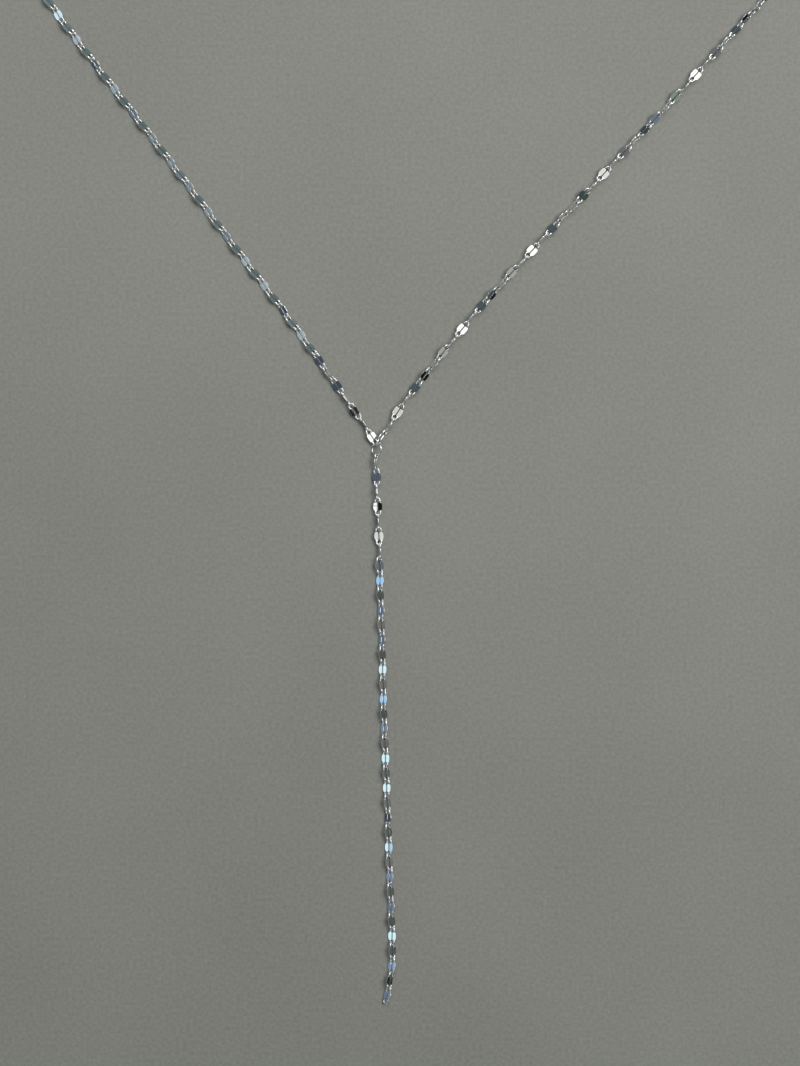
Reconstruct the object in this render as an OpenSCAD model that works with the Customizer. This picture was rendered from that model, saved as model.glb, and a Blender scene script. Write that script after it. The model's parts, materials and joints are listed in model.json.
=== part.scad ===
// Y-shaped drop necklace of fine flattened-link chain, laid out flat on a surface.
// Millimetres. +X is to the right, +Y runs from the drop up to the clasp, +Z is up from the surface.

/* [Chain link] */
// Length of a link over its two bows
link_len = 3.85; // [3.84:0.01:3.9]
// Width of a link over its two pads
link_w = 1.9; // [1.7:0.05:2]
// Diameter of the link wire
wire_d = 0.32; // [0.28:0.01:0.32]
// Width of a bow, outside
bow_w = 1.3; // [1.26:0.01:1.34]
// Length of the pressed pads
pad_len = 1.75; // [1.5:0.05:1.8]
// Thickness of the pressed pads
pad_t = 0.14; // [0.1:0.01:0.2]
// Width of the slit between the two pads
slit_w = 0.12; // [0.08:0.01:0.16]

/* [Lay of the chain] */
// Spacing of the links as the left arm lies
pitch_left = 3.09; // [3.05:0.01:3.09]
// Spacing of the links as the right arm lies
pitch_right = 3; // [2.98:0.01:3.04]
// Spacing of the links as the drop lies
pitch_drop = 2.96; // [2.95:0.01:3.04]
// Links in the left arm up to its turn to the back, which lie at the left spacing
left_front = 36; // [30:1:40]
// Links in the right arm up to its turn to the back, which lie at the right spacing
right_front = 39; // [34:1:40]
// Links in the drop
drop_links = 37; // [20:1:37]

/* [Junction ring] */
// Outer diameter of the ring that joins the arms and the drop
ring_d = 3; // [2.9:0.05:3.1]
// Diameter of the wire of every ring
ring_wire_d = 0.34; // [0.3:0.01:0.34]
// Tilt of the junction ring, its right side up
ring_tilt = 48; // [46:1:50]

/* [Clasp] */
// Outer diameter of the spring-ring clasp
clasp_d = 6; // [5.8:0.1:6]
// Diameter of its tube
clasp_tube_d = 1.2; // [1:0.1:1.2]
// Outer diameter of its eye
eye_d = 1.94; // [1.9:0.02:2]
// Outer diameter of the small ring between the left arm and the eye
clasp_ring_d = 2.6; // [2.6:0.05:2.7]
// Outer diameter of the ring at the end of the right arm
end_ring_d = 4; // [4:0.05:4.1]

/* [Hidden] */
silver = "#c4c8cc";
bright_silver = "#d4d6d8";
$fn = 24;

// All the links in each arm. One count is odd and one even, so that each end link meets its ring squarely.
LEFT_LINKS = 71;
RIGHT_LINKS = 72;

// Centre of the whole outline in the plane, from the top of the junction ring, which the routes start from.
middle = [4.7, 11];

// Routes of the arms and the drop as they lie, from the top of the junction ring: X, Y.
LEFT_ROUTE = [
    [-4.4, 6.2], [-17, 24], [-30.8, 42.2], [-44.3, 60.1], [-58.2, 78.1], [-68, 91.5],
    [-74, 101.5], [-74.5, 111.5], [-67, 120], [-53, 125.5], [-36, 129], [-18, 130.7], [1.5, 131],
];
RIGHT_ROUTE = [
    [6.6, 9.5], [20.8, 27.1], [37.3, 45.1], [53.9, 62.8], [70.9, 81.4],
    [80, 92.3], [84.5, 102.2], [82.4, 111.5], [73, 119.3], [59, 124.8], [42.5, 128.7], [27, 130.6],
];
DROP_ROUTE = [
    [0, -8.5], [0.4, -19], [0.7, -31], [1.1, -43], [1.4, -55], [1.9, -67], [2.4, -81], [2.8, -93],
    [3.1, -100], [2.9, -106], [1.8, -111.5], [1, -114],
];
CURVE_STEPS = 12;

// Roll of the even links along each chain, in degrees about the chain's own axis: link number, roll.
// The odd links stand at a right angle to them.
LEFT_ROLL = [[0, 25], [2, 2], [4, -25], [7, -41], [LEFT_LINKS, -41]];
RIGHT_ROLL = [
    [0, 30], [2, 0], [9, -90], [16, -180], [23, -270], [32, -360], [37, -405], [RIGHT_LINKS, -405],
];
DROP_ROLL = [[0, 114], [1, 110], [3, 98], [5, 85], [7, 62], [8, 41], [drop_links, 41]];

// Seats on the junction ring, as angles round it, the play there, and the ring's turn on the surface.
LEFT_SEAT = 108;
RIGHT_SEAT = 70;
DROP_SEAT = 270;
SEAT_PLAY = 0.13;
RING_TURN = -3;

// A shank reaches this far under its pad at full width, and then thins over the taper.
SHANK_LAP = 0.03;
SHANK_TAPER = 0.42;
// Links stand this much off the surface, because a slope lowers one end of some of them.
LIFT = 0.025;

// Height of the clasp's eye and of its far side: the wires of the two rings pass under them.
EYE_H = 0.8;
CLASP_FAR_H = 1.25;
CLASP_RING_ROLL = 50;
END_RING_ROLL = 45;
// How far inside its ring the eye's wire and the clasp's tube run.
EYE_INSET = 1;
TUBE_INSET = 1.6;
// How far the eye's wire sinks into the clasp's tube, where the two are soldered.
EYE_SINK = 0.1;
// The clasp's thumb knob: its diameter, how far it stands out of the tube, and its place round the clasp.
KNOB_D = 0.8;
KNOB_H = 0.6;
KNOB_AT = 60;

bow_r = (bow_w - wire_d) / 2;
bow_x = link_len / 2 - wire_d / 2 - bow_r;
ring_r = (ring_d - ring_wire_d) / 2;
clasp_r = (clasp_d - clasp_tube_d) / 2;
eye_r = (eye_d - ring_wire_d) / 2;
eye_x = clasp_d / 2 + eye_r - EYE_SINK;
clasp_ring_r = (clasp_ring_d - ring_wire_d) / 2;
end_ring_r = (end_ring_d - ring_wire_d) / 2;
// From a link's centre to the middle of a ring wire that it holds
ring_reach = link_len / 2 - wire_d - ring_wire_d / 2 - SEAT_PLAY;

// Smooth curve through the rows of a route, as points close together
function pass(a, b, c, d, t) =
    0.5 * (2 * b + (c - a) * t + (2 * a - 5 * b + 4 * c - d) * t * t + (3 * b - a - 3 * c + d) * t * t * t);
function curve(rows) =
    let (last = len(rows) - 1)
    let (p = concat([2 * rows[0] - rows[1]], rows, [2 * rows[last] - rows[last - 1]]))
    [
        for (i = [1 : last], j = [0 : CURVE_STEPS - 1])
            pass(p[i - 1], p[i], p[i + 1], p[i + 2], j / CURVE_STEPS),
        rows[last]
    ];
// Distance along a curve to each of its points
function steps(c) =
    let (last = len(c) - 1)
    [for (i = 0, s = 0; i <= last; s = s + norm(c[min(i + 1, last)] - c[i]), i = i + 1) s];
// A route as two tables over the distance along it: X and Y
function route(rows) =
    let (c = curve(rows), s = steps(c))
    [for (axis = [0, 1]) [for (i = [0 : len(c) - 1]) [s[i], c[i][axis]]]];
function route_len(r) = r[0][len(r[0]) - 1][0];
function spot(r, s) = [lookup(s, r[0]), lookup(s, r[1])];

// Turns a point about Y and about Z
function tip(p, a) = [p.x * cos(a) + p.z * sin(a), p.y, p.z * cos(a) - p.x * sin(a)];
function swing(p, a) = [p.x * cos(a) - p.y * sin(a), p.x * sin(a) + p.y * cos(a), p.z];
// Middle of the junction ring's wire at an angle round the ring
ring_h = ring_r * sin(ring_tilt) + ring_wire_d / 2;
function on_ring(a) =
    swing(tip(ring_r * [cos(a), sin(a), 0], -ring_tilt) + [0, -ring_r, ring_h], RING_TURN);

// Height of a link's axis when one edge of its pads touches the surface, or its neighbour's does
function lie_h(roll) =
    let (s = abs(sin(roll)), c = abs(cos(roll)))
    link_w / 2 * max(s, c) + pad_t / 2 * min(s, c) + LIFT;
function rolls(table, count) = [for (k = [0 : count - 1]) lookup(k, table) + 90 * k];
// Height of the joint between a link and the one before it
function joint_h(roll, k) = (lie_h(roll[k - 1]) + lie_h(roll[k])) / 2;

// Distance in the plane from a ring to the centre of the end link that rises to it
function ring_run(rise, pitch) = sqrt(pow(ring_reach + pitch / 2, 2) - rise * rise) - pitch / 2;
// Distances of the link centres along a route that ends on a ring: the back stretch takes up what is left
function arm_centres(r, pitch, front, roll, first, last) =
    let (count = len(roll))
    let (start = ring_run(first.z - joint_h(roll, 1), pitch))
    let (end = route_len(r) - ring_run(last.z - joint_h(roll, count - 1), pitch))
    let (turn = start + (front - 1) * pitch)
    let (back = (end - turn) / (count - front))
    [for (k = [0 : count - 1]) k < front ? start + k * pitch : turn + (k - front + 1) * back];
// The points where the links hold each other, with the seats at the two ends
function joints(r, at, roll, first, last) =
    concat(
        [first],
        [for (k = [1 : len(at) - 1])
            let (p = spot(r, (at[k - 1] + at[k]) / 2))
            [p.x, p.y, joint_h(roll, k)]],
        [last]
    );

// The clasp lies between the ends of the two arms, and leans a little from its eye to its far side.
clasp_span = eye_x + eye_r + clasp_r;
clasp_lean = asin((CLASP_FAR_H - EYE_H) / clasp_span);
left_end = LEFT_ROUTE[len(LEFT_ROUTE) - 1];
clasp_ring_h = clasp_ring_r * sin(CLASP_RING_ROLL) + ring_wire_d / 2;
end_ring_h = end_ring_r * sin(END_RING_ROLL) + ring_wire_d / 2;
clasp_ring_at = [left_end.x + clasp_ring_r, left_end.y, clasp_ring_h];
eye_at = [left_end.x + 2 * clasp_ring_r - EYE_INSET, left_end.y, EYE_H];
clasp_at = eye_at + (eye_x + eye_r) * [cos(clasp_lean), 0, sin(clasp_lean)];
far_at = clasp_at + clasp_r * [cos(clasp_lean), 0, sin(clasp_lean)];
end_ring_at = [far_at.x - TUBE_INSET + end_ring_r, left_end.y, end_ring_h];

left_seat = on_ring(LEFT_SEAT);
right_seat = on_ring(RIGHT_SEAT);
drop_seat = on_ring(DROP_SEAT);
left_last = clasp_ring_at - [clasp_ring_r, 0, 0];
right_last = end_ring_at + [end_ring_r, 0, 0];

left_way = route(concat([[left_seat.x, left_seat.y]], LEFT_ROUTE));
right_way = route(concat([[right_seat.x, right_seat.y]], RIGHT_ROUTE, [[right_last.x, right_last.y]]));
drop_way = route(concat([[drop_seat.x, drop_seat.y]], DROP_ROUTE));

// One link: two bows of round wire, four shanks that flatten into the pads, and the two pads
module link() {
    for (end = [0, 180])
        rotate([0, 0, end]) {
            translate([bow_x, 0, 0])
                rotate([0, 0, -90])
                    rotate_extrude(angle = 180)
                        translate([bow_r, 0])
                            circle(d = wire_d);
            for (side = [-1, 1])
                translate([bow_x, side * bow_r, 0])
                    shank();
            pad();
        }
}

// A shank runs straight from its bow and thins to nothing inside the pad.
module shank() {
    straight = bow_x - pad_len / 2 + SHANK_LAP;
    end = straight + SHANK_TAPER;
    end_r = pad_t / 3;
    rotate([0, -90, 0])
        rotate_extrude()
            polygon([[0, 0], [wire_d / 2, 0], [wire_d / 2, straight], [end_r, end], [0, end]]);
}

// A pad is flat: its edge is straight at the slit, and curved outside, in line with the wire at both ends.
module pad() {
    sag = link_w / 2 - bow_w / 2;
    pad_r = (pow(pad_len / 2, 2) + sag * sag) / (2 * sag);
    linear_extrude(pad_t, center = true)
        intersection() {
            translate([0, link_w / 2 - pad_r])
                circle(pad_r, $fn = 96);
            translate([-pad_len / 2, slit_w / 2])
                square([pad_len, link_w]);
        }
}

// A run of links, each from one joint to the next. The first and last may hold a ring instead of a link.
module strand(joint, roll, last_holds_ring) {
    last = len(roll) - 1;
    for (k = [0 : last]) {
        a = joint[k];
        b = joint[k + 1];
        way = (b - a) / norm(b - a);
        mid = k == 0 ? a + ring_reach * way
            : k == last && last_holds_ring ? b - ring_reach * way
            : (a + b) / 2;
        translate(mid)
            rotate([0, -asin(way.z), atan2(way.y, way.x)])
                rotate([roll[k], 0, 0])
                    link();
    }
}

module ring(d) {
    rotate_extrude($fn = 48)
        translate([(d - ring_wire_d) / 2, 0])
            circle(d = ring_wire_d);
}

module on_table() {
    translate([-middle.x, -middle.y, 0])
        children();
}

module chain_left() {
    roll = rolls(LEFT_ROLL, LEFT_LINKS);
    at = arm_centres(left_way, pitch_left, left_front, roll, left_seat, left_last);
    color(silver)
        on_table()
            strand(joints(left_way, at, roll, left_seat, left_last), roll, true);
}

module chain_right() {
    roll = rolls(RIGHT_ROLL, RIGHT_LINKS);
    at = arm_centres(right_way, pitch_right, right_front, roll, right_seat, right_last);
    color(silver)
        on_table()
            strand(joints(right_way, at, roll, right_seat, right_last), roll, true);
}

module drop_chain() {
    last = drop_links - 1;
    roll = rolls(DROP_ROLL, drop_links);
    at = [for (k = [0 : last]) ring_reach + k * pitch_drop];
    end = spot(drop_way, at[last] + pitch_drop / 2);
    joint = joints(drop_way, at, roll, drop_seat, [end.x, end.y, lie_h(roll[last])]);
    color(silver)
        on_table()
            strand(joint, roll, false);
}

module junction_ring() {
    color(bright_silver)
        on_table()
            rotate([0, 0, RING_TURN])
                translate([0, -ring_r, ring_h])
                    rotate([0, -ring_tilt, 0])
                        ring(ring_d);
}

// Spring-ring clasp, shut, with its eye and its thumb knob in one piece
module clasp() {
    color(bright_silver)
        on_table()
            translate(clasp_at)
                rotate([0, -clasp_lean, 0]) {
                    rotate_extrude($fn = 48)
                        translate([clasp_r, 0])
                            circle(d = clasp_tube_d);
                    translate([-eye_x, 0, 0])
                        ring(eye_d);
                    rotate([0, 0, KNOB_AT])
                        translate([clasp_r, 0, 0])
                            rotate([0, 90, 0])
                                cylinder(d = KNOB_D, h = clasp_tube_d / 2 + KNOB_H);
                }
}

module clasp_ring() {
    color(bright_silver)
        on_table()
            translate(clasp_ring_at)
                rotate([CLASP_RING_ROLL, 0, 0])
                    ring(clasp_ring_d);
}

module end_ring() {
    color(bright_silver)
        on_table()
            translate(end_ring_at)
                rotate([END_RING_ROLL, 0, 0])
                    ring(end_ring_d);
}

chain_left();
chain_right();
drop_chain();
junction_ring();
clasp();
clasp_ring();
end_ring();
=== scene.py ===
"""A silver Y-shaped drop necklace of fine flattened-link chain, laid flat on a matte surface.

Lengths are metres, and millimetres where a name ends in _mm. Angles are degrees. +Y runs from the end
of the drop to the clasp, +X is to the right from above, and +Z is up from the surface.
"""
from __future__ import annotations

import json
import logging
import math
from dataclasses import dataclass, field
from enum import Enum
from typing import Any, Sequence

import bmesh
import bpy
import numpy as np
from mathutils import Matrix, Vector

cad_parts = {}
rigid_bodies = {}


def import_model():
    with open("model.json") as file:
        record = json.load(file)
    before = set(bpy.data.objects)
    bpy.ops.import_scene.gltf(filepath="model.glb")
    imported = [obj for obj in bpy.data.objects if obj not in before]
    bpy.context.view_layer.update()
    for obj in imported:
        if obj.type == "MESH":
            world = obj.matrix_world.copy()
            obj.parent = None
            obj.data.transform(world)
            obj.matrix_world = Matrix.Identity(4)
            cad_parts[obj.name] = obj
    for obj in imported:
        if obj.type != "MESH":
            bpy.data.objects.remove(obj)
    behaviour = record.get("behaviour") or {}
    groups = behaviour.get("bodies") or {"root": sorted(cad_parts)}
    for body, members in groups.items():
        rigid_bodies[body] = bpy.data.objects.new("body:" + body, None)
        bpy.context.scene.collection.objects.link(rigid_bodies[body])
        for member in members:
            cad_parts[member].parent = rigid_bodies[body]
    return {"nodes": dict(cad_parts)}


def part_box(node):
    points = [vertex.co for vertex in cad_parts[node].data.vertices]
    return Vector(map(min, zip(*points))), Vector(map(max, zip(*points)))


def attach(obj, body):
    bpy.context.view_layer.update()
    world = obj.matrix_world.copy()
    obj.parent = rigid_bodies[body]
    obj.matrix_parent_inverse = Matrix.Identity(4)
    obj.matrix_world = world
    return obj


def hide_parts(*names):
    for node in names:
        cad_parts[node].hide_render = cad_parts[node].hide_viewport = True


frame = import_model()

MM = 0.001
Light = tuple[float, float, float]
Rgba = tuple[float, float, float, float]
log = logging.getLogger("necklace")


class Term:
    """A number-valued socket that Python's operators combine through Math nodes."""

    def __init__(self, tree: Tree, socket: bpy.types.NodeSocket) -> None:
        """Wraps one output socket of a tree."""
        self.tree = tree
        self.socket = socket

    def math(self, operation: str, *values: Any, clamp: bool = False) -> Term:
        """A Math node of that operation on numbers, sockets or terms; clamp holds it between 0 and 1."""
        settings = {"operation": operation, "use_clamp": clamp}
        return self.tree.value("ShaderNodeMath", settings, dict(enumerate(values)))

    def __add__(self, other: Any) -> Term:
        """Sum."""
        return self.math("ADD", self, other)

    def __sub__(self, other: Any) -> Term:
        """Difference."""
        return self.math("SUBTRACT", self, other)

    def __rsub__(self, other: Any) -> Term:
        """Difference from a number on the left."""
        return self.math("SUBTRACT", other, self)

    def __mul__(self, other: Any) -> Term:
        """Product."""
        return self.math("MULTIPLY", self, other)

    __radd__ = __add__
    __rmul__ = __mul__

    def held(self) -> Term:
        """The value held between 0 and 1."""
        return self.math("ADD", self, 0.0, clamp=True)

    def between(self, low: float, high: float) -> Term:
        """The value held between two bounds."""
        return self.math("MAXIMUM", self.math("MINIMUM", self, high), low)


class Tree:
    """A node tree in the making, in which one method makes every node."""

    def __init__(self, tree: bpy.types.NodeTree) -> None:
        """Takes a node tree to fill, and empties it."""
        self.tree = tree
        tree.nodes.clear()

    def node(self, kind: str, settings: dict[str, Any] | None = None,
             sockets: dict[str | int, Any] | None = None) -> bpy.types.Node:
        """Makes one node, with its settings first and its sockets after.

        Args:
            kind: the node's type.
            settings: its properties; "stops" is a ramp's list of positions and colours.
            sockets: its inputs by name or number, as values, sockets or terms.

        Returns:
            The node.
        """
        node = self.tree.nodes.new(kind)
        for name, value in (settings or {}).items():
            if name == "stops":
                elements = node.color_ramp.elements
                while len(elements) < len(value):
                    elements.new(1.0)
                for element, (position, shade) in zip(elements, value):
                    element.position = position
                    element.color = shade
            else:
                setattr(node, name, value)
        for name, value in (sockets or {}).items():
            if isinstance(value, Term):
                value = value.socket
            if isinstance(value, bpy.types.NodeSocket):
                self.tree.links.new(value, node.inputs[name])
            else:
                node.inputs[name].default_value = value
        return node

    def value(self, kind: str, settings: dict[str, Any] | None = None,
              sockets: dict[str | int, Any] | None = None, out: str | int = 0) -> Term:
        """Makes a node as node() does, and wraps its output of the given name or number."""
        return Term(self, self.node(kind, settings, sockets).outputs[out])

    def mix(self, factor: Any, first: Any, second: Any) -> bpy.types.NodeSocket:
        """Mixes two colours, from the first at a factor of 0 to the second at 1."""
        node = self.node("ShaderNodeMix", {"data_type": "RGBA"}, {"Factor": factor, 6: first, 7: second})
        return node.outputs[2]

    def step(self, value: Term, low: float, high: float) -> Term:
        """A smooth step from 0, where the value is low, to 1, where it is high."""
        return self.value("ShaderNodeMapRange", {"interpolation_type": "SMOOTHSTEP"}, {
            "Value": value, "From Min": low, "From Max": high})

    def noise(self, where: Any, scale: float, detail: float) -> Term:
        """Noise from 0 to 1, with so many waves to a unit of length and so many finer layers."""
        return self.value("ShaderNodeTexNoise", None, {"Vector": where, "Scale": scale, "Detail": detail})

    def surface(self, relief: Term, strength: float, distance: float, sockets: dict[str, Any]) -> None:
        """Ends a material's tree with a bump, the shader that it feeds and the output.

        Args:
            relief: the bump's height.
            strength: its strength.
            distance: its depth in metres.
            sockets: the shader's other inputs, by name.
        """
        bump = self.node("ShaderNodeBump", None, {
            "Strength": strength, "Distance": distance, "Height": relief})
        shader = self.node("ShaderNodeBsdfPrincipled", None, {**sockets, "Normal": bump.outputs["Normal"]})
        self.node("ShaderNodeOutputMaterial", None, {"Surface": shader.outputs[0]})


def colour(red: float, green: float, blue: float) -> Rgba:
    """A solid colour with linear parts."""
    return (red, green, blue, 1.0)


def new_material(name: str) -> tuple[bpy.types.Material, Tree]:
    """Makes an empty material.

    Args:
        name: its name.

    Returns:
        The material and its node tree.
    """
    made = bpy.data.materials.new(name)
    made.use_nodes = True
    return made, Tree(made.node_tree)


def circle(count: int) -> list[float]:
    """Angles evenly round a circle, in radians."""
    return [2 * math.pi * k / count for k in range(count)]


@dataclass(frozen=True)
class Silver:
    """Polished silver with fine hairlines, cloudy roughness, a breath of tarnish in random clouds, and
    painted shade darkening its nooks.
    """

    name: str
    tint: Rgba
    tarnish_and_shade: Rgba
    tarnish_and_shade_depth: float
    roughness: float
    roughness_spread: float
    hairline_depth: float

    # Each noise's scale and detail
    HAIRLINE = (2600.0, 4.0)
    CLOUD = (420.0, 3.0)
    HAIRLINE_TURN = (0.3, 0.2, 0.9)
    HAIRLINE_STRETCH = (1.0, 0.12, 1.0)
    BUMP_DISTANCE = 0.00002
    # How much painted shade darkens nooks and how much clouds tarnish, and how much round wire and the
    # tarnish and painted shade roughen
    NOOK_SHADE = 0.8
    CLOUD_TARNISH = 0.6
    WIRE_ROUGHNESS = 0.6
    TARNISH_AND_SHADE_ROUGHNESS = 0.25

    def material(self) -> bpy.types.Material:
        """Builds the finish.

        Returns:
            The material. It reads the mesh attribute of painted shade in nooks and the attribute "press", 0
            where a mesh has none.
        """
        made, tree = new_material(self.name)
        made.diffuse_color = self.tint
        place = tree.node("ShaderNodeTexCoord").outputs["Object"]
        cloud = tree.noise(place, *self.CLOUD)
        stretched = tree.node("ShaderNodeMapping", None, {
            "Vector": place, "Rotation": self.HAIRLINE_TURN, "Scale": self.HAIRLINE_STRETCH})
        hairline = tree.noise(stretched.outputs["Vector"], *self.HAIRLINE)
        nook = tree.value("ShaderNodeAttribute", {"attribute_name": "nook"}, out="Fac")
        press = tree.value("ShaderNodeAttribute", {"attribute_name": "press"}, out="Fac")
        uneven = cloud - 0.5
        # Painted shade in the nooks, mixed with tarnish in random clouds, darkens the tint
        tarnish_and_shade_mix = ((nook * self.NOOK_SHADE + uneven * self.CLOUD_TARNISH) * self.tarnish_and_shade_depth).held()
        base = tree.mix(tarnish_and_shade_mix, self.tint, self.tarnish_and_shade)
        wire = (1 - press) * self.roughness * self.WIRE_ROUGHNESS
        rough = self.roughness + uneven * self.roughness_spread + wire + tarnish_and_shade_mix * self.TARNISH_AND_SHADE_ROUGHNESS
        tree.surface(hairline, self.hairline_depth, self.BUMP_DISTANCE, {
            "Base Color": base, "Metallic": 1.0, "Roughness": rough.held()})
        return made


CHAIN_SILVER = Silver(
    "chain_silver", tint=colour(0.9, 0.905, 0.915), tarnish_and_shade=colour(0.42, 0.38, 0.33), tarnish_and_shade_depth=0.35,
    roughness=0.028, roughness_spread=0.02, hairline_depth=0.15)
RING_SILVER = Silver(
    "ring_silver", tint=colour(0.9, 0.9, 0.9), tarnish_and_shade=colour(0.4, 0.36, 0.31), tarnish_and_shade_depth=0.3,
    roughness=0.06, roughness_spread=0.04, hairline_depth=0.08)
CLASP_SILVER = Silver(
    "clasp_silver", tint=colour(0.88, 0.88, 0.88), tarnish_and_shade=colour(0.38, 0.34, 0.3), tarnish_and_shade_depth=0.3,
    roughness=0.13, roughness_spread=0.08, hairline_depth=0.18)


@dataclass(frozen=True)
class Press:
    """What the press did to a link: the pads' turns, how square they are, and where the slit opens.

    It opens from that share of half a pad's length outwards.
    """

    turns: tuple[float, float]
    squareness: float
    opens_from: float


class LinkForm(Enum):
    """The kinds of link in the chain, by how the press left their pads."""

    SQUARE = Press((0.0, 0.0), 6.0, 0.78)
    PETAL = Press((0.0, 0.0), 2.4, 0.6)
    SPLAYED = Press((-0.5, 0.5), 4.0, 0.72)
    SKEWED = Press((-0.6, -0.2), 2.8, 0.66)
    CUPPED = Press((1.6, -1.6), 2.4, 0.68)
    DENTED = Press((0.0, -11.0), 2.6, 0.74)


@dataclass(frozen=True)
class Place:
    """Where a loose solid of a CAD node lies: its middle, its axes as columns, and its sizes along them."""

    middle: np.ndarray
    axes: np.ndarray
    size: np.ndarray

    @property
    def normal(self) -> np.ndarray:
        """The shortest axis, pointing upwards."""
        return self.axes[:, 2] * (1 if self.axes[2, 2] >= 0 else -1)


def corners_of(node: bpy.types.Object) -> tuple[np.ndarray, np.ndarray]:
    """The welded corners of a CAD node and its triangles.

    Args:
        node: the CAD node, whose mesh is loose triangles.

    Returns:
        The corners, one row each, and the triangles as rows of three corner numbers.
    """
    weld = 1e-7
    mesh = node.data
    mesh.calc_loop_triangles()
    spots = np.empty(len(mesh.vertices) * 3)
    mesh.vertices.foreach_get("co", spots)
    faces = np.empty(len(mesh.loop_triangles) * 3, dtype=np.int32)
    mesh.loop_triangles.foreach_get("vertices", faces)
    spots = spots.reshape(-1, 3)
    rounded = np.round(spots / weld).astype(np.int64)
    _, first, same = np.unique(rounded, axis=0, return_index=True, return_inverse=True)
    return spots[first], same.reshape(-1)[faces].reshape(-1, 3)


def islands(count: int, faces: np.ndarray) -> list[np.ndarray]:
    """Groups the triangles that share corners.

    Args:
        count: how many corners there are.
        faces: the triangles.

    Returns:
        One array of triangles for each loose solid.
    """
    label = np.arange(count)
    while True:
        lowest = label[faces].min(axis=1)
        new = label.copy()
        for side in range(3):
            np.minimum.at(new, faces[:, side], lowest)
        new = new[new]
        if (new == label).all():
            break
        label = new
    owner = label[faces[:, 0]]
    return [faces[owner == one] for one in np.unique(owner)]


def place_of(spots: np.ndarray, faces: np.ndarray) -> Place:
    """Middle and principal axes of a closed surface, longest first.

    Args:
        spots: the corners.
        faces: the surface's triangles.

    Returns:
        The place, with a right-handed set of axes.
    """
    tri = spots[faces]
    area = np.linalg.norm(np.cross(tri[:, 1] - tri[:, 0], tri[:, 2] - tri[:, 0]), axis=1)
    middle = (tri.mean(axis=1) * area[:, None]).sum(axis=0) / area.sum()
    rel = tri - middle
    total = rel.sum(axis=1)
    spread = np.einsum("f,fki,fkj->ij", area, rel, rel) + np.einsum("f,fi,fj->ij", area, total, total)
    axes = np.linalg.eigh(spread)[1][:, ::-1]
    if np.linalg.det(axes) < 0:
        axes[:, 1] *= -1
    along = (spots[np.unique(faces)] - middle) @ axes
    return Place(middle, axes, along.max(axis=0) - along.min(axis=0))


def places_in(name: str) -> list[Place]:
    """The places of all the loose solids of a CAD node."""
    spots, faces = corners_of(frame["nodes"][name])
    return [place_of(spots, group) for group in islands(len(spots), faces)]


def ride(piece: bpy.types.Object, node: str) -> None:
    """Puts a finished piece on the body that it rides on, hides the CAD node that it stands for and logs
    its faces.

    Args:
        piece: the finished mesh object.
        node: the CAD node that it stands for.
    """
    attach(piece, "root")
    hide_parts(node)
    log.info("%s: %d faces, for %s", piece.name, len(piece.data.polygons), node)


def new_object(name: str, mesh: bpy.types.Mesh) -> bpy.types.Object:
    """Puts a mesh in the scene as an object.

    Args:
        name: the object's name.
        mesh: its mesh.

    Returns:
        The object, at the origin.
    """
    made = bpy.data.objects.new(name, mesh)
    bpy.context.scene.collection.objects.link(made)
    return made


def swept_mesh(name: str, sections: np.ndarray, closed: bool) -> bpy.types.Mesh:
    """Skins a row of sections that have the same number of points.

    Args:
        name: the mesh's name.
        sections: points as an array of stations, points round the section, and 3.
        closed: whether the last section joins the first; otherwise both ends are capped.

    Returns:
        A smooth-shaded mesh with its faces outwards.
    """
    stations, around = sections.shape[:2]
    spans = stations if closed else stations - 1
    faces: list[tuple[int, ...]] = []
    for i in range(spans):
        j = (i + 1) % stations
        for k in range(around):
            m = (k + 1) % around
            faces.append((i * around + k, j * around + k, j * around + m, i * around + m))
    if not closed:
        faces.append(tuple(range(around)))
        faces.append(tuple(reversed(range((stations - 1) * around, stations * around))))
    mesh = bpy.data.meshes.new(name)
    mesh.from_pydata(sections.reshape(-1, 3).tolist(), [], faces)
    shell = bmesh.new()
    shell.from_mesh(mesh)
    if shell.calc_volume(signed=True) < 0:
        bmesh.ops.reverse_faces(shell, faces=shell.faces)
    shell.to_mesh(mesh)
    shell.free()
    mesh.polygons.foreach_set("use_smooth", [True] * len(mesh.polygons))
    return mesh


def set_attribute(mesh: bpy.types.Mesh, name: str, kind: str, domain: str, values: Sequence) -> None:
    """Stores an attribute of that kind and domain on a mesh, with one value for each element."""
    made = mesh.attributes.new(name, kind, domain)
    made.data.foreach_set("value", np.asarray(values).reshape(-1))


def ease(value: float, low: float, high: float) -> float:
    """A smooth step from 0 at low to 1 at high."""
    t = min(max((value - low) / (high - low), 0.0), 1.0)
    return t * t * (3 - 2 * t)


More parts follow.
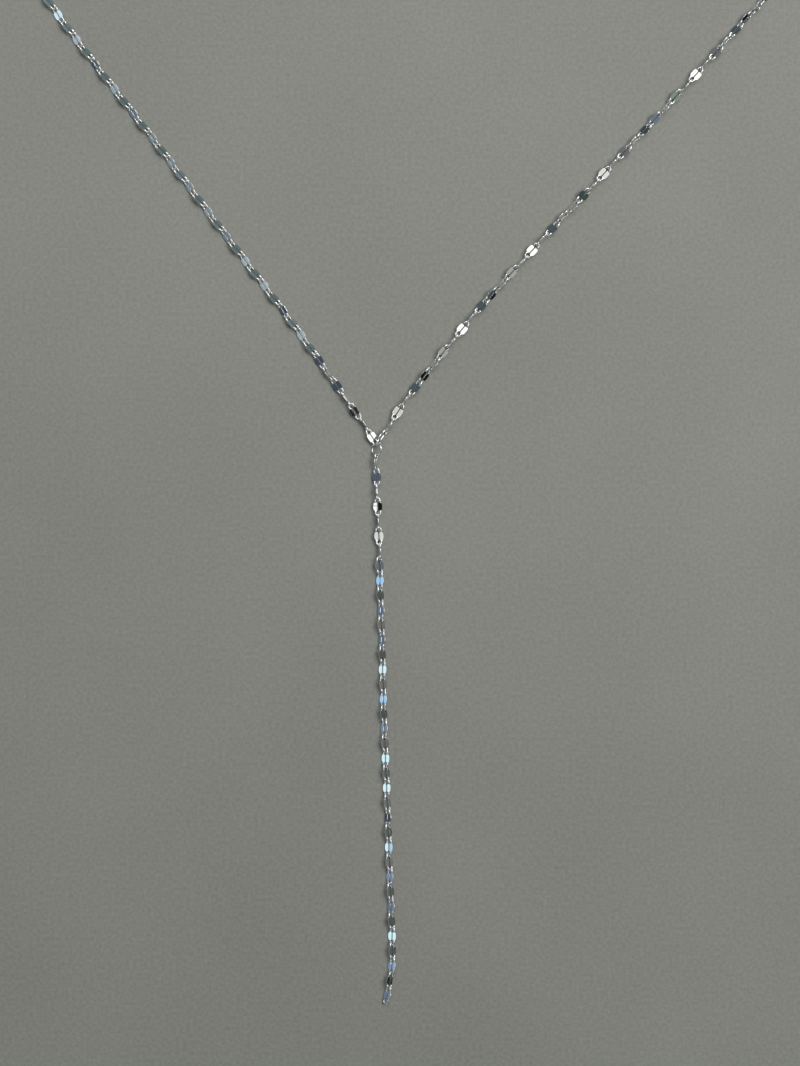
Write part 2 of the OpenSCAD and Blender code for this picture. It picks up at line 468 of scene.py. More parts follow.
@dataclass
class Link:
    """One link: an oval of round wire whose two long sides are pressed into flat pads.

    The crown is how much thicker a pad is along its middle, and the rim's share is how much of the pad's
    thickness its edge keeps. From flat_to to round_from, as shares of half a pad's length, the wire turns
    from flat to round.
    """

    length_mm: float = 3.85
    width_mm: float = 1.9
    wire_mm: float = 0.32
    bow_mm: float = 1.3
    pad_mm: float = 1.75
    pad_thick_mm: float = 0.14
    slit_mm: float = 0.16
    crown: float = 0.03
    rim_mm: float = 0.03
    rim_share: float = 0.45
    flat_to: float = 0.93
    round_from: float = 1.13
    bow_stations: int = 9
    around: int = 14

    # Stations along half a pad, as shares of it, close together where the wire turns round
    STATIONS = (0.0, 0.4, 0.64, 0.78, 0.87, 0.93, 0.97, 1.01, 1.06, 1.14)
    # Points across a pad's upper or lower face, as shares of half its width
    FACE = (-1, -0.5, 0, 0.5, 1)
    # The points of a section where a face meets a rim
    CRISP = (0, 4, 7, 11)
    # How flat a section is at least for its edges to be crisp
    PRESSED = 0.99

    def pad_stations(self) -> list[float]:
        """Places along a pad, from one bow to the other, as distances from the link's middle."""
        half = [share * self.pad_mm / 2 for share in self.STATIONS] + [self.bow_centre]
        return half[:0:-1] + [-x for x in half]

    @property
    def bow_centre(self) -> float:
        """Distance from the link's middle to the centre of a bow."""
        return (self.length_mm - self.bow_mm) / 2

    def edges(self, x: float, press: Press) -> tuple[float, float, float]:
        """The pad's inner edge, outer edge and flatness at a distance from the link's middle.

        Args:
            x: the distance along the link.
            press: how the link was pressed.

        Returns:
            Inner edge, outer edge, both from the link's axis, and flatness from 0 to 1.
        """
        reach = abs(x) / (self.pad_mm / 2)
        flat = 1 - ease(reach, self.flat_to, self.round_from)
        opens = self.bow_mm / 2 - self.wire_mm - self.slit_mm / 2
        inner = self.slit_mm / 2 + opens * ease(reach, press.opens_from, self.round_from)
        proud = (self.width_mm - self.bow_mm) / 2
        outer = self.bow_mm / 2 + proud * (1 - min(reach, 1.0) ** press.squareness)
        return inner, outer, flat

    def section(self, half: float, thick: float, flat: float) -> list[tuple[float, float]]:
        """Points round the wire: a circle where it is round, and a thin crowned bar where it is pressed.

        Args:
            half: half of the section's width.
            thick: half of its thickness.
            flat: 0 for round, 1 for pressed.

        Returns:
            The points as pairs of across and up.
        """
        side = half - self.rim_mm
        rim = thick * self.rim_share
        bar = [(side * u, thick * (1 + self.crown * (1 - u * u))) for u in self.FACE]
        bar += [(half, rim), (half, -rim)]
        bar += [(u, -w) for u, w in reversed(bar[:len(self.FACE)])]
        bar += [(-half, -rim), (-half, rim)]
        points = []
        for k, (u, w) in enumerate(bar):
            turn = math.pi / 2 + (len(self.FACE) // 2 - k) * 2 * math.pi / self.around
            round_u, round_w = half * math.cos(turn), thick * math.sin(turn)
            points.append((u * flat + round_u * (1 - flat), w * flat + round_w * (1 - flat)))
        return points

    def mesh(self, form: LinkForm) -> bpy.types.Mesh:
        """Skins one link.

        Args:
            form: how its pads were pressed.

        Returns:
            The mesh in millimetres, with the attribute "press" and the attribute of painted shade in its
            nooks.
        """
        rows, press, nook = [], [], []
        for side, turn in zip((1, -1), form.value.turns):
            lean = math.radians(turn)
            for step in self.pad_stations():
                x = step * side
                inner, outer, flat = self.edges(x, form.value)
                half = (outer - inner) / 2
                thick = (self.pad_thick_mm * flat + self.wire_mm * (1 - flat)) / 2
                tip = lean * flat
                row = []
                for u, w in self.section(half, thick, flat):
                    y = side * u
                    row.append((x, side * (inner + half) + y * math.cos(tip) - w * math.sin(tip),
                                y * math.sin(tip) + w * math.cos(tip)))
                    # Painted shade, darkest at the pad's inner edge by the slit
                    nook.append(max(0.0, -u / half) ** 2)
                rows.append(row)
                press += [flat] * self.around
            for step in range(1, self.bow_stations + 1):
                angle = math.radians(90 + 180 * step / (self.bow_stations + 1))
                angle += 0 if side > 0 else math.pi
                radius = (self.bow_mm - self.wire_mm) / 2
                row = []
                for u, w in self.section(self.wire_mm / 2, self.wire_mm / 2, 0.0):
                    row.append((-side * self.bow_centre + (radius + u) * math.cos(angle),
                                (radius + u) * math.sin(angle), w))
                    # Painted shade on the bow wire's inner side
                    nook.append(max(0.0, -2 * u / self.wire_mm) ** 2)
                rows.append(row)
                press += [0.0] * self.around
        mesh = swept_mesh(form.name.lower() + "_link", np.array(rows), closed=True)
        set_attribute(mesh, "press", "FLOAT", "POINT", press)
        set_attribute(mesh, "nook", "FLOAT", "POINT", nook)
        set_attribute(mesh, "sharp_edge", "BOOLEAN", "EDGE", self.crisp_edges(mesh, press))
        return mesh

    def crisp_edges(self, mesh: bpy.types.Mesh, press: Sequence[float]) -> list[bool]:
        """Finds the edges that run along a pad where a face meets a rim.

        Args:
            mesh: the link's mesh.
            press: how flat the wire is at each of its points.

        Returns:
            Whether it is such an edge, for each edge.
        """
        found = []
        for edge in mesh.edges:
            a, b = edge.vertices
            along = a % self.around == b % self.around and a % self.around in self.CRISP
            found.append(along and min(press[a], press[b]) > self.PRESSED)
        return found


@dataclass
class Strand:
    """One run of links, laid where the CAD node's links lie.

    Links are counted from the junction, which is at first_at. Each has the form given for it, or else draws
    one of the usual. The keys of flatter are degrees, and its values the links that lean less by that much.
    Past the first few, neighbours turn aside by the zigzag's degrees, one to the left and the next to the
    right, about their own middles, so they still meet. Sway is the most that a link rolls at random.
    """

    node: str
    name: str
    first_at: tuple[float, float]
    usual: tuple[LinkForm, ...]
    flatter: dict[float, Sequence[int]] = field(default_factory=dict)
    forms: dict[int, LinkForm] = field(default_factory=dict)
    zigzag: float = 0.0
    sway: float = 0.3
    seed: int = 1

    # The links over which the zigzag grows, counted from the junction and from the far end
    SETTLES = (3, 8)
    ENDS = (0, 5)

    def ordered(self) -> list[Place]:
        """Puts the links in order.

        Returns:
            The links' places from the junction ring outwards.
        """
        left = places_in(self.node)
        here = np.array([*self.first_at, 0.0])
        row: list[Place] = []
        while left:
            nearest = min(left, key=lambda place: float(np.linalg.norm(place.middle - here)))
            left = [place for place in left if place is not nearest]
            here = nearest.middle
            row.append(nearest)
        return row

    def centres(self) -> bpy.types.Mesh:
        """A mesh of one point for each link, with the link's turn and form as attributes.

        Returns:
            The mesh. "turn" is the link's axes as a rotation, "form" the number of its shape.
        """
        row = self.ordered()
        count = len(row)
        turns, forms = [], []
        draw = np.random.default_rng(self.seed)
        kinds = list(LinkForm)
        lean = {link: degrees for degrees, links in self.flatter.items() for link in links}
        for k, place in enumerate(row):
            ahead = row[min(k + 1, count - 1)].middle - row[max(k - 1, 0)].middle
            x = place.axes[:, 0] * np.sign(place.axes[:, 0] @ ahead)
            y = np.cross(place.normal, x)
            basis = Matrix(np.column_stack([x, y, place.normal]).tolist())
            down = -np.sign(y[2]) * lean.get(k, 0.0)
            basis = basis @ Matrix.Rotation(math.radians(down), 3, "X")
            aside = self.zigzag * (1 if k % 2 else -1) * ease(k, *self.SETTLES)
            aside *= ease(count - 1 - k, *self.ENDS)
            basis = Matrix.Rotation(math.radians(aside), 3, "Z") @ basis
            turns.append(list(basis.to_quaternion()))
            drawn = self.usual[int(draw.integers(len(self.usual)))]
            forms.append(kinds.index(self.forms.get(k, drawn)))
        mesh = bpy.data.meshes.new(self.name + "_centres")
        mesh.from_pydata([place.middle.tolist() for place in row], [], [])
        set_attribute(mesh, "turn", "QUATERNION", "POINT", turns)
        set_attribute(mesh, "form", "INT", "POINT", forms)
        return mesh

    def make(self, tree: bpy.types.NodeTree, links: bpy.types.Collection,
             silver: bpy.types.Material) -> bpy.types.Object:
        """Lays the links and fuses them into one mesh.

        Args:
            tree: the Geometry Nodes tree that lays links on points.
            links: the collection of link shapes, in the order of LinkForm.
            silver: the chain's finish.

        Returns:
            The finished piece.
        """
        piece = new_object(self.name, self.centres())
        lay = piece.modifiers.new("lay", "NODES")
        lay.node_group = tree
        given = {"Links": links, "Link scale": MM, "Sway": math.radians(self.sway), "Seed": self.seed,
                 "Silver": silver}
        for item in tree.interface.items_tree:
            if item.name in given:
                lay[item.identifier] = given[item.name]
        graph = bpy.context.evaluated_depsgraph_get()
        fused = bpy.data.meshes.new_from_object(piece.evaluated_get(graph), depsgraph=graph)
        piece.modifiers.clear()
        piece.data = fused
        fused.name = self.name
        for extra in ("turn", "form"):
            if extra in fused.attributes:
                fused.attributes.remove(fused.attributes[extra])
        return piece


def link_layer() -> bpy.types.NodeTree:
    """The Geometry Nodes tree that lays a link on each point, turned as its attributes say.

    Returns:
        The tree, with the inputs Centres, Links, Link scale, Sway, Seed and Silver.
    """
    group = bpy.data.node_groups.new("lay_links", "GeometryNodeTree")
    tree = Tree(group)
    for name, kind in (("Centres", "Geometry"), ("Links", "Collection"), ("Link scale", "Float"),
                       ("Sway", "Float"), ("Seed", "Int"), ("Silver", "Material")):
        group.interface.new_socket(name, in_out="INPUT", socket_type="NodeSocket" + kind)
    group.interface.new_socket("Chain", in_out="OUTPUT", socket_type="NodeSocketGeometry")
    given = tree.node("NodeGroupInput").outputs
    shapes = tree.node("GeometryNodeCollectionInfo", None, {
        "Collection": given["Links"], "Separate Children": True, "Reset Children": True})
    turn = tree.node("GeometryNodeInputNamedAttribute", {"data_type": "QUATERNION"}, {"Name": "turn"})
    form = tree.node("GeometryNodeInputNamedAttribute", {"data_type": "INT"}, {"Name": "form"})
    laid = tree.node("GeometryNodeInstanceOnPoints", None, {
        "Points": given["Centres"], "Instance": shapes.outputs[0], "Pick Instance": True,
        "Instance Index": form.outputs["Attribute"], "Rotation": turn.outputs["Attribute"],
        "Scale": given["Link scale"]})
    roll = tree.node("FunctionNodeRandomValue", {"data_type": "FLOAT"}, {
        2: Term(tree, given["Sway"]) * -1.0, 3: given["Sway"], "Seed": given["Seed"]})
    about = tree.node("ShaderNodeCombineXYZ", None, {"X": roll.outputs[1]})
    swayed = tree.node("GeometryNodeRotateInstances", None, {
        "Instances": laid.outputs[0], "Rotation": about.outputs[0], "Local Space": True})
    fused = tree.node("GeometryNodeRealizeInstances", None, {"Geometry": swayed.outputs[0]})
    dressed = tree.node("GeometryNodeSetMaterial", None, {
        "Geometry": fused.outputs[0], "Material": given["Silver"]})
    tree.node("NodeGroupOutput", None, {"Chain": dressed.outputs[0]})
    return group


@dataclass
class Chains:
    """The three strands of the necklace: both arms of the neck chain, and the drop."""

    link: Link
    strands: list[Strand]

    def make(self) -> None:
        """Makes each strand and puts it on the root body in place of its CAD node."""
        forms = bpy.data.collections.new("link_forms")
        bpy.context.scene.collection.children.link(forms)
        for number, form in enumerate(LinkForm):
            forms.objects.link(bpy.data.objects.new(f"link_form_{number}", self.link.mesh(form)))
        tree = link_layer()
        silver = CHAIN_SILVER.material()
        made = [(strand, strand.make(tree, forms, silver)) for strand in self.strands]
        for shape in list(forms.objects):
            mesh = shape.data
            bpy.data.objects.remove(shape)
            bpy.data.meshes.remove(mesh)
        bpy.data.collections.remove(forms)
        for strand, piece in made:
            ride(piece, strand.node)


@dataclass
class JumpRing:
    """A ring of round wire, bent to a circle, with a hairline where its ends meet."""

    node: str
    name: str
    seam_at: float
    wire_mm: float = 0.34
    stations: int = 96
    around: int = 20
    seam_depth: float = 0.16
    seam_half: float = 1.4

    # How far the groove reaches, in halves of the seam, and the wire's share at its shoulders
    REACH = 2.2
    SHOULDER = 0.96
    # How much painted shade the seam's groove gets for its depth, and how much the ring's inner side gets
    SEAM_SHADE = 5
    INNER_SHADE = 0.5

    def radii(self) -> list[tuple[float, float]]:
        """The stations round the ring, crowded at the seam.

        Returns:
            An angle for each, with the wire's radius there as a share.
        """
        groove = ((-self.REACH, 1.0), (-1.0, self.SHOULDER), (0.0, 1 - self.seam_depth),
                  (1.0, self.SHOULDER), (self.REACH, 1.0))
        rows = [(self.seam_at + step * self.seam_half, share) for step, share in groove]
        first, last = self.REACH * self.seam_half, 360 - self.REACH * self.seam_half
        count = self.stations - len(groove)
        rows += [(self.seam_at + first + (last - first) * (i + 1) / (count + 1), 1.0)
                 for i in range(count)]
        return rows

    def make(self, silver: bpy.types.Material) -> None:
        """Args:
            silver: the ring's finish.
        """
        place = places_in(self.node)[0]
        normal = place.normal
        radius = place.size[:2].mean() / 2 - self.wire_mm * MM / 2
        level = np.cross([0.0, 1.0, 0.0], normal)
        across = level / np.linalg.norm(level)
        up = np.cross(normal, across)
        turns = circle(self.around)
        sections, nook = [], []
        for angle, share in self.radii():
            out = across * math.cos(math.radians(angle)) + up * math.sin(math.radians(angle))
            centre = place.middle + out * radius
            wire = self.wire_mm * MM / 2 * share
            sections.append([centre + out * wire * math.cos(t) + normal * wire * math.sin(t)
                             for t in turns])
            # Painted shade in the seam's groove and on the ring's inner side
            nook += [max(1 - share, 0.0) * self.SEAM_SHADE
                     + self.INNER_SHADE * max(0.0, -math.cos(t)) ** 3 for t in turns]
        piece = new_object(self.name, swept_mesh(self.name, np.array(sections), closed=True))
        set_attribute(piece.data, "nook", "FLOAT", "POINT", np.minimum(nook, 1.0))
        piece.data.materials.append(silver)
        ride(piece, self.node)


@dataclass
class SpringClasp:
    """A plain spring-ring clasp, shut: its tube, the thinner bolt that closes it, its knob and its eye."""

    node: str = "clasp"
    name: str = "spring_clasp"
    outer_mm: float = 6.0
    tube_mm: float = 1.2
    eye_mm: float = 1.94
    wire_mm: float = 0.34
    bolt_share: float = 0.72
    bolt_from: float = 64.0
    bolt_to: float = 112.0
    knob_at: float = 60.0
    knob_mm: float = 0.8
    knob_height_mm: float = 0.6
    collar_share: float = 1.06
    collar_degrees: float = 6.0
    eye_sink_mm: float = 0.1
    around: int = 28
    eye_around: int = 14
    knob_around: int = 20

    # Degrees from station to station round the tube and the eye, and from the bolt's ends at least
    TUBE_STEP = 5
    EYE_STEP = 8
    CLEAR = 1
    # Stations at each end of the bolt, in degrees from that end into the bolt
    BOLT_STATIONS = (-0.6, 0.1, 0.8, -6.0, -6.6)

    def tube_shares(self) -> dict[float, float]:
        """The stations round the tube, crowded at each end of the bolt.

        Returns:
            The tube's thickness at each station's angle, as a share of its own.
        """
        ends = (self.bolt_from, self.bolt_to)
        steps = range(0, 360, self.TUBE_STEP)
        angles = {step for step in steps if min(abs(step - end) for end in ends) > self.CLEAR}
        for end, inward in zip(ends, (1, -1)):
            angles |= {end + offset * inward for offset in self.BOLT_STATIONS}
        shares = {}
        for angle in sorted(angles):
            collar = min(abs(angle - end) for end in ends) < self.collar_degrees
            shares[angle] = self.collar_share if collar else 1.0
            if self.bolt_from < angle < self.bolt_to:
                shares[angle] = self.bolt_share
        return shares

    def torus(self, middle: float, radius: float, wire: float, shares: dict[float, float],
              around: int) -> bpy.types.Mesh:
        """A ring of tube whose thickness varies, flat in the clasp's own plane, in millimetres.

        Args:
            middle: where the ring's middle is along the clasp.
            radius: from the middle to the tube's centre.
            wire: the tube's radius.
            shares: the tube's thickness at each station's angle, as a share.
            around: points round the tube.

        Returns:
            The mesh.
        """
        rows = []
        for angle, share in shares.items():
            a = math.radians(angle)
            rows.append([(middle + (radius + wire * share * math.cos(t)) * math.cos(a),
                          (radius + wire * share * math.cos(t)) * math.sin(a),
                          wire * share * math.sin(t)) for t in circle(around)])
        return swept_mesh("ring", np.array(rows), closed=True)

    def knob(self, radius: float) -> bpy.types.Mesh:
        """The thumb knob, a short pin with a domed head, standing out of the tube.

        Args:
            radius: from the clasp's middle to the tube's centre.

        Returns:
            The mesh, in millimetres.
        """
        top = self.tube_mm / 2 + self.knob_height_mm
        half = self.knob_mm / 2
        # Heights above the tube's centre, each with the knob's width there as a share
        outline = ((0.2, 0.7), (self.tube_mm / 2 + 0.12, 0.7), (self.tube_mm / 2 + 0.18, 0.9),
                   (top - 0.2, 1.0), (top - 0.08, 0.94), (top - 0.02, 0.7), (top, 0.35))
        out = Vector((math.cos(math.radians(self.knob_at)), math.sin(math.radians(self.knob_at)), 0))
        side = Vector((-out.y, out.x, 0))
        up = Vector((0, 0, 1))
        rows = []
        for height, share in outline:
            rows.append([out * (radius + height) + (side * math.cos(t) + up * math.sin(t)) * half * share
                         for t in circle(self.knob_around)])
        return swept_mesh("knob", np.array([[tuple(v) for v in row] for row in rows]), closed=False)

    def placed(self, radius: float) -> Matrix:
        """Finds where the clasp lies, in its CAD node's plane and box, with its eye at the clasp ring.

        Args:
            radius: from the clasp's middle to the tube's centre.

        Returns:
            The matrix from the clasp's own millimetres to the scene.
        """
        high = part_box(self.node)[1]
        first, last = (places_in(name)[0].middle for name in ("clasp_ring", "end_ring"))
        normal = places_in(self.node)[0].normal
        ahead = last - first
        along = ahead - normal * (ahead @ normal)
        along = along / np.linalg.norm(along)
        slope = math.atan2(along[2], math.hypot(along[0], along[1]))
        reach = (radius * math.cos(slope) + self.tube_mm / 2) * MM
        drop = self.tube_mm / 2 * MM + radius * MM * math.sin(abs(slope))
        turn = Matrix(np.column_stack([along, np.cross(normal, along), normal]).tolist()).to_4x4()
        return Matrix.Translation((high[0] - reach, first[1], high[2] - drop)) @ turn @ Matrix.Scale(MM, 4)

    def make(self, silver: bpy.types.Material) -> None:
        """Args:
            silver: the clasp's finish.
        """
        radius = (self.outer_mm - self.tube_mm) / 2
        eye_radius = (self.eye_mm - self.wire_mm) / 2
        eye_middle = -(self.outer_mm / 2 + eye_radius - self.eye_sink_mm)
        eye_shares = dict.fromkeys(range(0, 360, self.EYE_STEP), 1.0)
        parts = [
            self.torus(0.0, radius, self.tube_mm / 2, self.tube_shares(), self.around),
            self.torus(eye_middle, eye_radius, self.wire_mm / 2, eye_shares, self.eye_around),
            self.knob(radius),
        ]
        whole = bmesh.new()
        for part in parts:
            whole.from_mesh(part)
            bpy.data.meshes.remove(part)
        bmesh.ops.transform(whole, matrix=self.placed(radius), verts=whole.verts)
        mesh = bpy.data.meshes.new(self.name)
        whole.to_mesh(mesh)
        whole.free()
        mesh.polygons.foreach_set("use_smooth", [True] * len(mesh.polygons))
        piece = new_object(self.name, mesh)
        piece.data.materials.append(silver)
        ride(piece, self.node)


@dataclass(frozen=True)
class Side:
    """One side of the studio as the polished silver sees it, its half width to each side of its azimuth.

    The stops are heights in degrees with the light there, and one blends into the next.
    """

    azimuth: float
    half_width: float
    stops: tuple[tuple[float, Light], ...]


def band(low: float, high: float, light: Light) -> tuple[tuple[float, Light], ...]:
    """Two stops that keep a light the same from one height to another."""
    return (low, light), (high, light)


CEILING: Light = (1.1, 1.08, 1.03)
WINDOW: Light = (1.35, 1.33, 1.27)
GLOW: Light = (3.6, 3.6, 3.5)
LAMP: Light = (8.8, 8.9, 8.8)
SHADE: Light = (0.012, 0.012, 0.012)
DUSK: Light = (0.45, 0.45, 0.43)
CREAM: Light = (0.795, 0.807, 0.743)
ZENITH: Light = (0.68, 0.675, 0.6)
BELOW: Light = (0.205, 0.21, 0.195)

ROOM = Side(0, 360, (
    (-10, (0.2, 0.2, 0.19)), (30, (0.17, 0.17, 0.165)), (72, (0.15, 0.15, 0.145)), (79, CEILING)))
WALL_FOOT = ((5, (0.12, 0.165, 0.165)), *band(9.5, 20, (0.18, 0.232, 0.25)), (28, (0.2, 0.2, 0.2)))
WALL_TOP = ((80.7, WINDOW), *band(81.3, 82.7, CREAM), (83.3, WINDOW))
SIDES = (
    # The windows at the picture's top, with a glow and a lamp in them
    Side(55, 47, (*WALL_FOOT, *band(36, 56, WINDOW), *band(59, 66, GLOW), (69, WINDOW), *WALL_TOP)),
    Side(78, 20, (*WALL_FOOT, *band(36, 55, WINDOW), *band(58, 67, LAMP), (70, WINDOW), *WALL_TOP)),
    # A narrower window with a lamp, to the right
    Side(0, 13, (
        (6, (0.088, 0.098, 0.088)), *band(9.5, 22, (0.18, 0.178, 0.162)),
        *band(29, 50, (0.14, 0.165, 0.18)), (56, WINDOW), *band(59, 66, LAMP), (69, WINDOW),
        *band(76, 85, (0.75, 0.75, 0.7)), (88, CEILING))),
    # A dim wall at the lower right
    Side(330, 16, (
        (6, SHADE), *band(10.5, 26, (0.148, 0.198, 0.24)), *band(34, 44, (0.39, 0.4, 0.37)),
        *band(48.5, 53, (0.23, 0.29, 0.245)), *band(58, 70, (0.05, 0.068, 0.068)), (77, CEILING))),
    # A dark wall with a small lamp, at the upper left
    Side(128, 20, (
        (4, (0.066, 0.092, 0.108)), *band(6, 12, (0.05, 0.065, 0.078)), (16, (0.066, 0.092, 0.108)),
        (41, (0.072, 0.098, 0.115)), *band(46, 56, (0.155, 0.16, 0.17)), (62, DUSK),
        *band(65, 69, (5.0, 5.0, 4.9)), *band(72, 76, DUSK), (81, CEILING))),
    # Dark walls to the left and the lower left, with daylight low in them
    Side(172, 23.5, (
        (2, (0.05, 0.06, 0.085)), (4, (0.115, 0.16, 0.225)), (7, (0.125, 0.17, 0.24)),
        (9, (0.2, 0.28, 0.37)), (11.5, (0.21, 0.29, 0.38)), *band(14, 16, (0.4, 0.65, 0.92)),
        *band(19, 26, (0.72, 0.98, 1.06)), *band(31, 62, (0.085, 0.116, 0.16)), *band(67, 79, SHADE),
        (82, CEILING))),
    Side(222, 26.5, (
        (3, (0.052, 0.074, 0.095)), (5.5, (0.13, 0.18, 0.23)), (8, (0.14, 0.19, 0.24)),
        (10.5, (0.215, 0.27, 0.28)), (12, (0.22, 0.275, 0.285)), (15, (0.39, 0.46, 0.51)),
        (17, (0.4, 0.47, 0.52)), *band(20, 26, (0.72, 0.96, 1.04)),
        *band(31, 62, (0.052, 0.074, 0.095)), *band(67, 79, SHADE), (82, CEILING))),
)


@dataclass(frozen=True)
class MatteGrey:
    """The surface's finish: matte warm grey with a faint fine tooth.

    Two noises, each given by its scale and detail, mix the dark and the light. From slope_from to slope_to
    along Y, the mix rises by the slope for each metre: painted light, lighter towards +Y and darker towards
    -Y.
    """

    dark: Rgba = colour(0.137, 0.1385, 0.128)
    light: Rgba = colour(0.243, 0.246, 0.227)
    tooth: tuple[float, float] = (1400.0, 5.0)
    tooth_share: float = 0.9
    cloud: tuple[float, float] = (20.0, 6.0)
    cloud_share: float = 0.42
    lowered: float = 0.09
    # Painted light: the floor lighter towards +Y and darker towards -Y
    slope: float = 1.9
    slope_from: float = -0.15
    slope_to: float = 0.09
    bump_strength: float = 0.5
    bump_distance: float = 0.0001
    roughness: float = 0.85
    specular: float = 0.25

    def material(self) -> bpy.types.Material:
        """Builds the finish.

        Returns:
            The material.
        """
        made, tree = new_material("matte_grey")
        place = tree.node("ShaderNodeTexCoord").outputs["Object"]
        tooth = tree.noise(place, *self.tooth)
        cloud = tree.noise(place, *self.cloud)
        along = tree.value("ShaderNodeSeparateXYZ", None, {0: place}, out="Y")
        # Painted light falloff along Y, added to the random grain
        painted_light_rise = along.between(self.slope_from, self.slope_to) * self.slope
        tone_and_painted_light = cloud * self.cloud_share + tooth * self.tooth_share - self.lowered + painted_light_rise
        shade = tree.mix(tone_and_painted_light.held(), self.dark, self.light)
        tree.surface(tooth, self.bump_strength, self.bump_distance, {
            "Base Color": shade, "Roughness": self.roughness, "Specular IOR Level": self.specular})
        return made


@dataclass
class Studio:
    """The plain matte surface, the room's light, one lamp and the camera above.

    Each of zenith_from and below_until is two heights, between which one light gives way to another.
    """

    floor_side: float = 10.0
    floor_drop: float = 0.00003
    picture_middle: tuple[float, float] = (-0.0001, -0.0291)
    picture_height: float = 0.2132
    camera_height: float = 0.6
    camera_sees: tuple[float, float] = (0.01, 20.0)
    sensor_mm: float = 36.0
    side_edge: float = 4.0
    lowest: float = -10.0
    brightest: float = 10.0
    zenith_from: tuple[float, float] = (86.4, 87.2)
    below_until: tuple[float, float] = (-1.2, -0.6)
    lamp_azimuth: float = 15.0
    lamp_elevation: float = 58.0
    lamp_away: float = 0.7
    lamp_across: float = 0.36
    lamp_watts: float = 2.62
    lamp_tint: Light = (1.0, 0.97, 0.92)

    def camera(self) -> None:
        """Puts the camera straight above the picture's middle, its top towards +Y."""
        data = bpy.data.cameras.new("camera")
        data.sensor_fit = "AUTO"
        data.sensor_width = self.sensor_mm
        data.lens = self.sensor_mm * self.camera_height / self.picture_height
        data.clip_start, data.clip_end = self.camera_sees
        eye = bpy.data.objects.new("camera", data)
        eye.location = (*self.picture_middle, self.camera_height)
        bpy.context.scene.collection.objects.link(eye)
        bpy.context.scene.camera = eye

    def floor(self) -> None:
        """Makes the matte grey surface."""
        half = self.floor_side / 2
        mesh = bpy.data.meshes.new("matte_floor")
        square = ((-half, -half), (half, -half), (half, half), (-half, half))
        mesh.from_pydata([(x, y, -self.floor_drop) for x, y in square], [], [(0, 1, 2, 3)])
        surface = new_object("matte_floor", mesh)
        mesh.materials.append(MatteGrey().material())

    def share(self, light: Light) -> Rgba:
        """A light as a share of the brightest."""
        return colour(*(part / self.brightest for part in light))

    def surroundings(self) -> None:
        """Lights the world as a dim room with the bands of light that the polished silver mirrors."""
        world = bpy.data.worlds.new("studio")
        world.use_nodes = True
        bpy.context.scene.world = world
        tree = Tree(world.node_tree)
        ray = tree.node("ShaderNodeTexCoord").outputs["Generated"]
        height = tree.value("ShaderNodeSeparateXYZ", None, {0: ray}, out="Z")
        elevation = height.math("ARCSINE", height) * math.degrees(1.0)
        flat = tree.node("ShaderNodeVectorMath", {"operation": "MULTIPLY"}, {0: ray, 1: (1.0, 1.0, 0.0)})
        level = tree.node("ShaderNodeVectorMath", {"operation": "NORMALIZE"}, {0: flat.outputs[0]})
        seen = self.heights(tree, elevation, ROOM)
        for side in SIDES:
            azimuth = math.radians(side.azimuth)
            facing = tree.value("ShaderNodeVectorMath", {"operation": "DOT_PRODUCT"}, {
                0: level.outputs[0], 1: (math.cos(azimuth), math.sin(azimuth), 0.0)}, out="Value")
            turned = facing.math("ARCCOSINE", facing) * math.degrees(1.0)
            low, high = side.half_width - self.side_edge, side.half_width + self.side_edge
            seen = tree.mix(1 - tree.step(turned, low, high), seen, self.heights(tree, elevation, side))
        seen = tree.mix(tree.step(elevation, *self.zenith_from), seen, self.share(ZENITH))
        seen = tree.mix(tree.step(elevation, *self.below_until), self.share(BELOW), seen)
        back = tree.node("ShaderNodeBackground", None, {"Color": seen, "Strength": self.brightest})
        tree.node("ShaderNodeOutputWorld", None, {"Surface": back.outputs[0]})

    def heights(self, tree: Tree, elevation: Term, side: Side) -> bpy.types.NodeSocket:
        """The light on one side of the studio, from the horizon up.

        Args:
            tree: the world's tree.
            elevation: the height looked at, in degrees.
            side: the side, with its light at a few heights.

        Returns:
            The colour's socket, as a share of the brightest light.
        """
        span = 90.0 - self.lowest
        stops = [((low - self.lowest) / span, self.share(light)) for low, light in side.stops]
        along = (elevation - self.lowest) * (1 / span)
        return tree.node("ShaderNodeValToRGB", {"stops": stops}, {0: along}).outputs["Color"]

    def lamp(self) -> None:
        """Hangs one soft round lamp that faces the picture's middle. The silver doesn't mirror it."""
        data = bpy.data.lights.new("key_light", "AREA")
        data.shape = "DISK"
        data.size = self.lamp_across
        data.energy = self.lamp_watts
        data.color = self.lamp_tint
        a, e = math.radians(self.lamp_azimuth), math.radians(self.lamp_elevation)
        out = Vector((math.cos(a) * math.cos(e), math.sin(a) * math.cos(e), math.sin(e)))
        hung = bpy.data.objects.new("key_light", data)
        hung.location = Vector((*self.picture_middle, 0.0)) + out * self.lamp_away
        hung.rotation_mode = "QUATERNION"
        hung.rotation_quaternion = out.to_track_quat("Z", "Y")
        hung.visible_glossy = False
        bpy.context.scene.collection.objects.link(hung)

    def make(self) -> None:
        """Makes the whole studio."""
        self.camera()
        self.floor()
        self.surroundings()
        self.lamp()


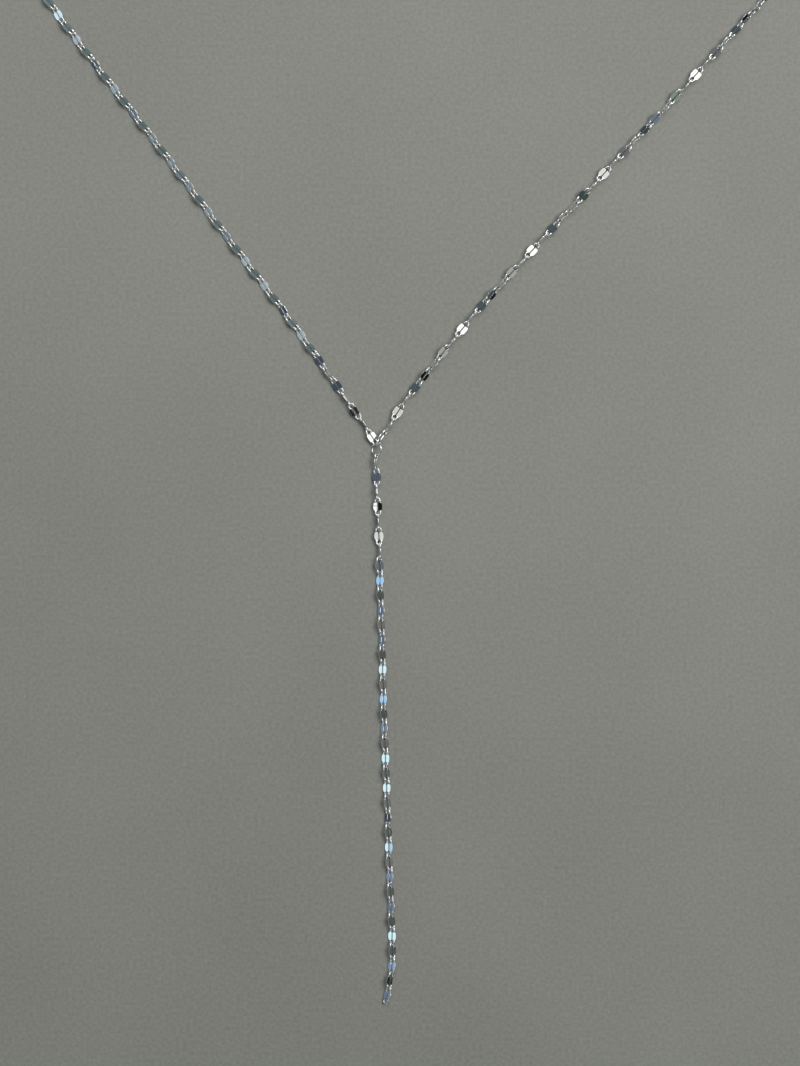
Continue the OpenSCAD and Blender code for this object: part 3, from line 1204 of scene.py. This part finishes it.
def strands(at: tuple[float, float]) -> list[Strand]:
    """Describes the strands, with the links that the photograph shows flatter or in a form of their own.

    Args:
        at: the junction's place.

    Returns:
        The left arm, the right arm and the drop.
    """
    return [
        Strand("chain_left", "chain_left_links", at, (LinkForm.SQUARE, LinkForm.SPLAYED, LinkForm.SKEWED),
               seed=3, zigzag=6.0, forms={0: LinkForm.SQUARE, 2: LinkForm.SQUARE}, flatter={
                   -3: (10,), -1.2: (30,), -0.7: (26,), 1.2: (16, 20, 24), 2: (18,), 2.3: (22,),
                   3.2: (8, 28), 3.6: (12, 14), 5.3: (32,), 6.5: (7, 11, 25, 27, 29), 6.8: (34,),
                   7.5: (13, 15, 17, 19, 23, 31), 8: (2, 6), 9: (9, 21, 33, 35)}),
        Strand("chain_right", "chain_right_links", at, (LinkForm.SQUARE, LinkForm.SPLAYED), seed=5,
               forms={k: LinkForm.SQUARE for k in (2, 9, 16, 23, 32)},
               flatter={-25: (0,), 8: (5,), 9.2: (12,), 12: (21,)}),
        Strand("drop_chain", "drop_links", at, (LinkForm.PETAL, LinkForm.SKEWED), seed=7, zigzag=3.0,
               forms={3: LinkForm.DENTED, 5: LinkForm.PETAL, 26: LinkForm.CUPPED}, flatter={
                   -3.5: (24,), -1.3: (12, 36), -0.5: (10, 30), 1: (18, 28, 34), 3.5: (8, 16),
                   5.5: (26, 35), 6: (9, 13, 17, 31), 6.5: (14, 20, 22, 32), 7.3: (21, 25, 29, 33),
                   8: (19, 23), 9: (11, 15, 27)}),
    ]


def main() -> None:
    """Builds the necklace in its studio."""
    logging.basicConfig(level=logging.INFO, format="%(name)s: %(message)s")
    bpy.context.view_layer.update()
    bpy.context.scene.view_settings.view_transform = "Standard"
    Studio().make()
    start = places_in("junction_ring")[0].middle
    Chains(Link(), strands((float(start[0]), float(start[1])))).make()
    silver = RING_SILVER.material()
    for which, seam_at in (("junction", 200), ("clasp", 300), ("end", 80)):
        JumpRing(f"{which}_ring", f"{which}_jump_ring", seam_at).make(silver)
    SpringClasp().make(CLASP_SILVER.material())


if __name__ == "__main__":
    main()
